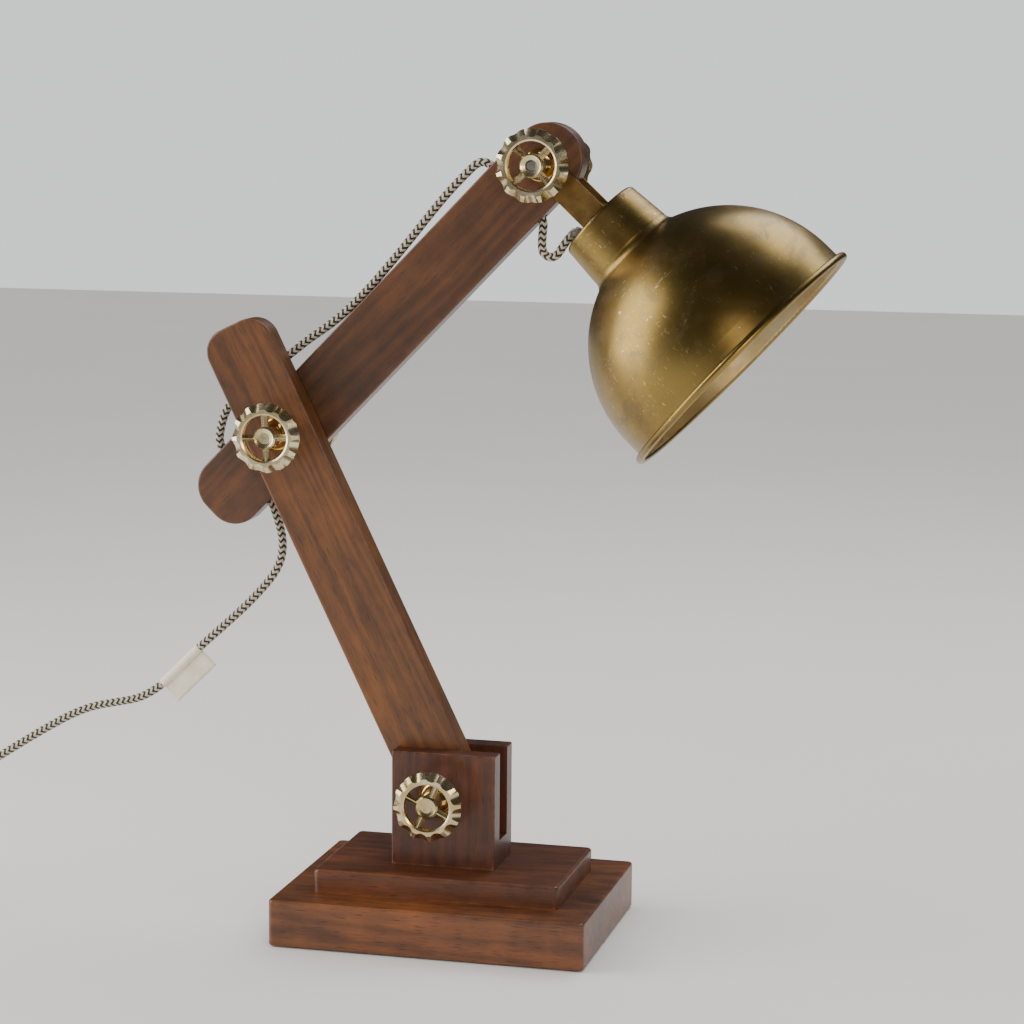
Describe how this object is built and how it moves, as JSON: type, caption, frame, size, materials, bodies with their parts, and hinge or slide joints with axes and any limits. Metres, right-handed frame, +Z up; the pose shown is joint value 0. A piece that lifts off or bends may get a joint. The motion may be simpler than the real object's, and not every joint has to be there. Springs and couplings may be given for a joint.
{
  "type": "swing arm desk lamp",
  "caption": "Swing arm desk lamp with a stepped wooden base, two flat wooden arms on brass handwheel pivots, a brass fork and bell shade, and a woven cord.",
  "frame": {"origin": "centre of the base's underside, where it meets the desk", "axes": "+X towards the shade's side, +Z up, +Y through the arms' thickness away from the front"},
  "size_m": [0.8425, 0.2618, 0.6084],
  "materials": {
    "walnut": "satin lacquer",
    "cast_brass": "worn pale lacquer",
    "polished_brass": "polished",
    "aged_brass": "aged satin",
    "socket_brass": "pressed",
    "blade_brass": "bright",
    "steel": "zinc plated",
    "porcelain": "glazed",
    "fibre": "vulcanised fibre",
    "felt": "felt",
    "braid": "black and cream woven braid",
    "tag_paper": "matte",
    "dark_plastic": "moulded phenolic"
  },
  "bodies": {
    "base": {"base_felt": "felt", "lower_plinth": "walnut", "upper_plinth": "walnut", "clevis_block": "walnut", "step_screws": "steel", "block_screws": "steel", "shoulder_rod": "steel", "shoulder_front_cup": "polished_brass", "shoulder_back_cup": "polished_brass", "shoulder_front_washer": "polished_brass", "shoulder_back_washer": "polished_brass", "shoulder_slot_washers": "fibre", "cord_lead": "braid", "cord_coil": "braid", "cord_tail": "braid", "plug_body": "dark_plastic", "plug_blades": "blade_brass", "switch_lower_half": "dark_plastic", "switch_upper_half": "dark_plastic", "switch_screw": "steel"},
    "switch": {"switch_rocker": "dark_plastic"},
    "lower": {"lower_arm": "walnut", "elbow_rod": "steel", "elbow_front_cup": "polished_brass", "elbow_back_cup": "polished_brass", "elbow_front_washer": "polished_brass", "elbow_back_washer": "polished_brass", "elbow_spacer": "fibre", "cord_tag": "tag_paper"},
    "upper": {"upper_arm": "walnut", "cord_arm_run": "braid", "cord_drop": "braid"},
    "head": {"fork": "aged_brass", "head_rod": "steel", "head_front_cup": "polished_brass", "head_back_cup": "polished_brass", "fork_washers": "fibre", "shade_dome": "aged_brass", "shade_neck": "aged_brass", "fork_nipple": "aged_brass", "fork_nut": "steel", "neck_locknut": "steel", "lampholder_cap": "socket_brass", "lampholder_insulator": "porcelain", "screw_shell": "socket_brass", "centre_contact": "socket_brass", "cord_bush": "dark_plastic", "cord_head_loop": "braid"},
    "shoulder_front_wheel": {"shoulder_front_handwheel": "cast_brass"},
    "shoulder_back_wheel": {"shoulder_back_handwheel": "cast_brass"},
    "elbow_front_wheel": {"elbow_front_handwheel": "cast_brass"},
    "elbow_back_wheel": {"elbow_back_handwheel": "cast_brass"},
    "head_front_wheel": {"head_front_handwheel": "cast_brass"},
    "head_back_wheel": {"head_back_handwheel": "cast_brass"}
  },
  "joints": [
    {"name": "shoulder", "type": "hinge", "parent": "base", "child": "lower", "pos_m": [-0.006, 0, 0.107], "axis": [0, 1, 0], "range_deg": [-25, 30], "deforming": ["cord_lead"]},
    {"name": "elbow", "type": "hinge", "parent": "lower", "child": "upper", "pos_m": [-0.1363, 0, 0.3747], "axis": [0, 1, 0], "range_deg": [-30, 30], "deforming": ["cord_drop"]},
    {"name": "head_tilt", "type": "hinge", "parent": "upper", "child": "head", "pos_m": [0.06, 0.0212, 0.5775], "axis": [0, 1, 0], "range_deg": [-45, 25], "deforming": ["cord_head_loop"]},
    {"name": "switch_toggle", "type": "hinge", "parent": "base", "child": "switch", "pos_m": [-0.5471, -0.06, 0.0135], "axis": [1, 0, 0], "range_deg": [0, 9]},
    {"name": "shoulder_front_knob_turn", "type": "hinge", "parent": "base", "child": "shoulder_front_wheel", "pos_m": [-0.006, 0, 0.107], "axis": [0, 1, 0], "continuous": true},
    {"name": "shoulder_back_knob_turn", "type": "hinge", "parent": "base", "child": "shoulder_back_wheel", "pos_m": [-0.006, 0, 0.107], "axis": [0, 1, 0], "continuous": true},
    {"name": "elbow_front_knob_turn", "type": "hinge", "parent": "lower", "child": "elbow_front_wheel", "pos_m": [-0.1363, 0, 0.3747], "axis": [0, 1, 0], "continuous": true},
    {"name": "elbow_back_knob_turn", "type": "hinge", "parent": "lower", "child": "elbow_back_wheel", "pos_m": [-0.1363, 0, 0.3747], "axis": [0, 1, 0], "continuous": true},
    {"name": "head_front_knob_turn", "type": "hinge", "parent": "head", "child": "head_front_wheel", "pos_m": [0.06, 0.0212, 0.5775], "axis": [0, 1, 0], "continuous": true},
    {"name": "head_back_knob_turn", "type": "hinge", "parent": "head", "child": "head_back_wheel", "pos_m": [0.06, 0.0212, 0.5775], "axis": [0, 1, 0], "continuous": true}
  ]
}
